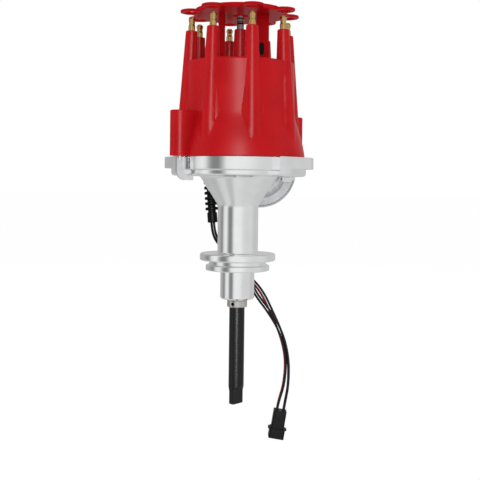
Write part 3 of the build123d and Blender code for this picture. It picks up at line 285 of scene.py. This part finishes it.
# a finish for each material slot of the part
finishes = {
    "billet_aluminium": turnedAluminium(aluminiumSet),
    "red_plastic": mouldedRed("capRed", redSet),
    "retainer_plastic": mouldedRed("retainerRed", retainerSet),
    "brass": brightMetal("terminalBrass", (0.63, 0.415, 0.15), (0.05, 0.13)),
    "gunmetal": brightMetal("darkStud", (0.24, 0.235, 0.235), (0.14, 0.24)),
    "chrome": brightMetal("latchChrome", (0.86, 0.865, 0.87), (0.05, 0.14)),
    "shaft_steel": blackShaft(shaftSet),
    "turned_steel": brightMetal("collarSteel", (0.62, 0.60, 0.57), (0.22, 0.36), marksOf["turned"]),
    "bearing_steel": brightMetal(
        "bearingSteel", (0.66, 0.67, 0.69), (0.10, 0.2), marksOf["ground"]
    ),
    "sintered_bronze": brightMetal(
        "bushingBronze", (0.42, 0.27, 0.14), (0.42, 0.6), marksOf["cast"]
    ),
    "zinc_steel": brightMetal(
        "zincPlate", (0.70, 0.71, 0.72), (0.26, 0.34), marksOf["zinc"], zincDepth
    ),
    "black_rubber": darkMoulding(
        "bootRubber", (0.004, 0.004, 0.0045), (0.34, 0.46), glossOf["boot"]
    ),
    "diaphragm_rubber": darkMoulding("diaphragmRubber", (0.02, 0.02, 0.02), (0.55, 0.75)),
    "black_nylon": darkMoulding(
        "nylonBlack", (0.004, 0.004, 0.0045), (0.34, 0.44), glossOf["nylon"]
    ),
    "black_moulding": darkMoulding("moduleBlack", (0.016, 0.016, 0.018), (0.45, 0.6)),
    "rotor_plastic": mouldedRed("rotorRed", rotorSet),
    "carbon": darkMoulding("brushCarbon", (0.02, 0.02, 0.021), (0.5, 0.7)),
    "wire_red": darkMoulding("insulationRed", (0.22, 0.016, 0.012), (0.32, 0.42), glossOf["wire"]),
    "wire_black": darkMoulding(
        "insulationBlack", (0.008, 0.008, 0.009), (0.30, 0.42), glossOf["wire"]
    ),
    "wire_green": darkMoulding(
        "insulationGreen", (0.008, 0.020, 0.014), (0.32, 0.42), glossOf["wire"]
    ),
    "wire_violet": darkMoulding(
        "insulationViolet", (0.016, 0.009, 0.017), (0.30, 0.42), glossOf["wire"]
    ),
}

slotOf = {row["node"]: row["material_slot"] for row in frame["record"]["subparts"]}
for name, piece in nodes.items():
    piece.data.materials.clear()
    piece.data.materials.append(finishes[slotOf[name]])
print("finishes set on", len(nodes), "nodes")


# wires, each one smooth line from the boot to the connector
wireSet = {"diameter": 2.2 * mm, "sides": 8, "steps": 16}
# in millimetres: the points of the part's own routes
wireRoutes = {
    "wire_ignition": [
        (-25.73, 30.25, 42.77), (-24.78, 29.06, 31.11), (-17.32, 37.63, 19.68),
        (-5.56, 43.74, 5.81), (7.65, 43.24, -8.94), (22.57, 37.47, -23.69),
        (32.44, 33.24, -44.03), (41.98, 31.25, -64.66), (47.66, 31.05, -88.18),
        (46.12, 31.25, -112.68), (41.04, 33.17, -130.1), (39.86, 33.17, -137.5),
    ],
    "wire_ground": [
        (-25.76, 27.76, 43.02), (-24.72, 26.47, 30.36), (-16.67, 35.37, 18.81),
        (-5.32, 41.26, 5.54), (7.42, 40.76, -8.65), (16.76, 35.53, -27.15),
        (30.96, 30.76, -44.46), (42.64, 28.75, -64.29), (48.41, 28.55, -88.1),
        (46.86, 28.5, -112.78), (41.04, 26.82, -130.1), (39.86, 26.82, -137.5),
    ],
    "wire_coil": [
        (-23.24, 30.24, 42.98), (-22.34, 29.12, 31.92), (-15.33, 37.63, 21.19),
        (-3.68, 43.74, 7.46), (9.58, 43.24, -7.35), (24.66, 37.72, -22.32),
        (34.82, 33.24, -42.66), (44.56, 31.25, -63.71), (50.27, 31.05, -87.91),
        (50.58, 31.25, -113.25), (47.31, 33.17, -131.09), (46.14, 33.17, -138.5),
    ],
    "wire_tach": [
        (-23.27, 27.75, 43.23), (-22.28, 26.53, 31.18), (-14.68, 35.37, 20.32),
        (-3.44, 41.26, 7.19), (9.35, 40.76, -7.06), (18.78, 35.28, -25.69),
        (33.33, 30.52, -43.07), (44.99, 28.75, -63.43), (50.89, 28.55, -87.85),
        (50.83, 28.5, -113.29), (47.31, 26.82, -131.09), (46.14, 26.82, -138.5),
    ],
}


def hangWire(name, points, s):
    slot = slotOf[name]
    curve = bpy.data.curves.new(name, "CURVE")
    curve.dimensions = "3D"
    line = curve.splines.new("NURBS")
    line.points.add(len(points) - 1)
    for spot, (x, y, z) in zip(line.points, points):
        spot.co = (x * mm, y * mm, z * mm, 1)
    line.order_u = 3  # a curve of second degree, which runs close by its points
    line.use_endpoint_u = True
    line.resolution_u = s["steps"]
    curve.bevel_depth = s["diameter"] / 2
    curve.bevel_resolution = s["sides"]
    curve.use_fill_caps = True
    curve.materials.append(finishes[slot])
    wire = bpy.data.objects.new(name.replace("wire_", "lead_"), curve)
    scene.collection.objects.link(wire)
    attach(wire, "housing")
    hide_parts(name)


for wireName, wirePoints in wireRoutes.items():
    hangWire(wireName, wirePoints, wireSet)
print("wires laid")


# the rolled bead that closes the canister's crimp
beadSet = {
    "radius": 36.0 * mm,
    "thick": 1.0 * mm,
    "at": (21.2 * mm, 72.75 * mm, 93.9 * mm),
    "segments": (144, 14),
    "slot": "zinc_steel",
}


def crimpBead(s):
    bpy.ops.mesh.primitive_torus_add(
        major_radius=s["radius"],
        minor_radius=s["thick"],
        major_segments=s["segments"][0],
        minor_segments=s["segments"][1],
        location=s["at"],
        rotation=(math.radians(90), 0, 0),
    )
    bead = bpy.context.object
    bead.name = "crimpBead"
    bead.data.polygons.foreach_set("use_smooth", [True] * len(bead.data.polygons))
    bead.data.materials.append(finishes[s["slot"]])
    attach(bead, "housing")


crimpBead(beadSet)
print("canister bead made")


# a pale floor just below the part; the camera sees it almost as white as the backdrop
floorSet = {
    "color": (0.9, 0.9, 0.9, 1),
    "roughness": 0.9,
    "glow": 1.01,
    "glowShare": 0.97,
    "half": 30.0,
    "drop": 0.0006,
}


def studioFloor(s):
    material = bpy.data.materials.new("floorPale")
    material.use_nodes = True
    tree = material.node_tree
    shader = tree.nodes["Principled BSDF"]
    shader.inputs["Base Color"].default_value = s["color"]
    shader.inputs["Roughness"].default_value = s["roughness"]
    glow = tree.nodes.new("ShaderNodeEmission")
    glow.inputs["Strength"].default_value = s["glow"]
    rays = tree.nodes.new("ShaderNodeLightPath")
    seen = tree.nodes.new("ShaderNodeMath")
    seen.operation = "MAXIMUM"
    tree.links.new(rays.outputs["Is Camera Ray"], seen.inputs[0])
    tree.links.new(rays.outputs["Is Glossy Ray"], seen.inputs[1])
    share = tree.nodes.new("ShaderNodeMath")
    share.operation = "MULTIPLY"
    share.inputs[1].default_value = s["glowShare"]
    tree.links.new(seen.outputs[0], share.inputs[0])
    mix = tree.nodes.new("ShaderNodeMixShader")
    tree.links.new(share.outputs[0], mix.inputs[0])
    tree.links.new(shader.outputs[0], mix.inputs[1])
    tree.links.new(glow.outputs[0], mix.inputs[2])
    tree.links.new(mix.outputs[0], tree.nodes["Material Output"].inputs["Surface"])
    mesh = bpy.data.meshes.new("studioFloor")
    half = s["half"]
    top = cadLow.z - s["drop"]
    corners = [(-half, -half, top), (half, -half, top), (half, half, top), (-half, half, top)]
    mesh.from_pydata(corners, [], [(0, 1, 2, 3)])
    mesh.materials.append(material)
    floor = bpy.data.objects.new("studioFloor", mesh)
    scene.collection.objects.link(floor)
    floor.visible_glossy = False


# what glossy surfaces see round them: compass angle from the camera's side, and brightness
roomBands = [
    (-180, 0.55),
    (-157, 0.48),
    (-123, 0.43),
    (-103, 0.26),
    (-96, 0.32),
    (-86, 0.74),
    (-71, 0.90),
    (-64, 0.78),
    (-57, 0.44),
    (-50, 0.25),
    (-38, 0.24),
    (-31, 0.44),
    (-22, 0.86),
    (-9, 0.91),
    (14, 0.89),
    (25, 0.81),
    (37, 0.73),
    (50, 0.70),
    (77, 0.71),
    (92, 0.66),
    (110, 0.58),
    (134, 0.60),
    (180, 0.55),
]
# what they see below turns plain by degrees; the rest is even light
roomSet = {
    "low": 0.66,
    "lowFrom": -0.15,
    "lowTo": -0.75,
    "lowShare": 0.75,
    "ambient": 0.42,
    "white": 1.0,
}


def studioRoom(bands, s):
    world = bpy.data.worlds.new("studioRoom")
    scene.world = world
    world.use_nodes = True
    tree = world.node_tree
    tree.nodes.clear()
    out = tree.nodes.new("ShaderNodeOutputWorld")
    rays = tree.nodes.new("ShaderNodeLightPath")

    def background(strength):
        node = tree.nodes.new("ShaderNodeBackground")
        node.inputs["Color"].default_value = (1, 1, 1, 1)
        node.inputs["Strength"].default_value = strength
        return node

    def blend(factor, one, two):
        node = tree.nodes.new("ShaderNodeMixShader")
        tree.links.new(factor, node.inputs[0])
        tree.links.new(one, node.inputs[1])
        tree.links.new(two, node.inputs[2])
        return node.outputs[0]

    place = tree.nodes.new("ShaderNodeTexCoord")
    split = tree.nodes.new("ShaderNodeSeparateXYZ")
    tree.links.new(place.outputs["Generated"], split.inputs[0])
    back = tree.nodes.new("ShaderNodeMath")
    back.operation = "MULTIPLY"
    back.inputs[1].default_value = -1
    tree.links.new(split.outputs["Y"], back.inputs[0])
    compass = tree.nodes.new("ShaderNodeMath")
    compass.operation = "ARCTAN2"
    tree.links.new(split.outputs["X"], compass.inputs[0])
    tree.links.new(back.outputs[0], compass.inputs[1])
    along = tree.nodes.new("ShaderNodeMapRange")
    along.inputs["From Min"].default_value = -math.pi
    along.inputs["From Max"].default_value = math.pi
    tree.links.new(compass.outputs[0], along.inputs["Value"])
    ramp = tree.nodes.new("ShaderNodeValToRGB")
    marks = ramp.color_ramp.elements
    while len(marks) < len(bands):
        marks.new(0.5)
    for mark, (angle, level) in zip(marks, bands):
        mark.position = (angle + 180) / 360
        mark.color = (level, level, level, 1)
    tree.links.new(along.outputs[0], ramp.inputs[0])
    room = background(s["white"])
    down = tree.nodes.new("ShaderNodeMapRange")
    down.inputs["From Min"].default_value = s["lowFrom"]
    down.inputs["From Max"].default_value = s["lowTo"]
    down.inputs["To Max"].default_value = s["lowShare"]
    tree.links.new(split.outputs["Z"], down.inputs["Value"])
    plain = tree.nodes.new("ShaderNodeMix")
    plain.data_type = "RGBA"
    plain.inputs[mixSockets["light"]].default_value = (s["low"], s["low"], s["low"], 1)
    tree.links.new(down.outputs[0], plain.inputs["Factor"])
    tree.links.new(ramp.outputs[0], plain.inputs[mixSockets["dark"]])
    tree.links.new(plain.outputs[mixSockets["out"]], room.inputs["Color"])
    seen = background(s["white"])
    ambient = background(s["ambient"])
    lit = blend(rays.outputs["Is Glossy Ray"], ambient.outputs[0], room.outputs[0])
    clear = blend(rays.outputs["Is Transmission Ray"], lit, seen.outputs[0])
    tree.links.new(blend(rays.outputs["Is Camera Ray"], clear, seen.outputs[0]), out.inputs[0])


lampAim = (0, 0, 0.06)
lamps = {
    "frontSoft": {"at": (-0.1, -1.7, 0.6), "size": (1.0, 1.5), "power": 11},
    "rightSoft": {"at": (1.6, -0.4, 0.5), "size": (1.2, 1.6), "power": 8},
    "leftSoft": {"at": (-1.6, -0.4, 0.6), "size": (1.2, 1.6), "power": 8},
    "topSoft": {"at": (0.0, 0.2, 1.7), "size": (1.6, 1.6), "power": 8},
    "backSoft": {"at": (0.3, 1.6, 0.7), "size": (1.4, 1.4), "power": 6},
}
# a strip light that only some pieces take, for a soft line along them
stripSet = {"at": (0.03, -1.9, 0.35), "size": (0.40, 1.4), "power": 56}
stripTakers = ("cap", "rotor", "shaft", "strain_relief", "connector_housing")


def hangLamp(name, s):
    data = bpy.data.lights.new(name, "AREA")
    data.shape = "RECTANGLE"
    data.size, data.size_y = s["size"]
    data.energy = s["power"]
    lamp = bpy.data.objects.new(name, data)
    scene.collection.objects.link(lamp)
    lamp.location = s["at"]
    aim = Vector(lampAim) - Vector(s["at"])
    lamp.rotation_euler = aim.to_track_quat("-Z", "Y").to_euler()
    return lamp


studioFloor(floorSet)
studioRoom(roomBands, roomSet)
for lampName, lampSet in lamps.items():
    hangLamp(lampName, lampSet).visible_glossy = False
takers = bpy.data.collections.new("stripTakers")
for name in stripTakers:
    takers.objects.link(nodes[name])
strip = hangLamp("stripSoft", stripSet)
strip.light_linking.receiver_collection = takers
strip.visible_diffuse = False
scene.view_settings.view_transform = "Standard"
print("studio ready")
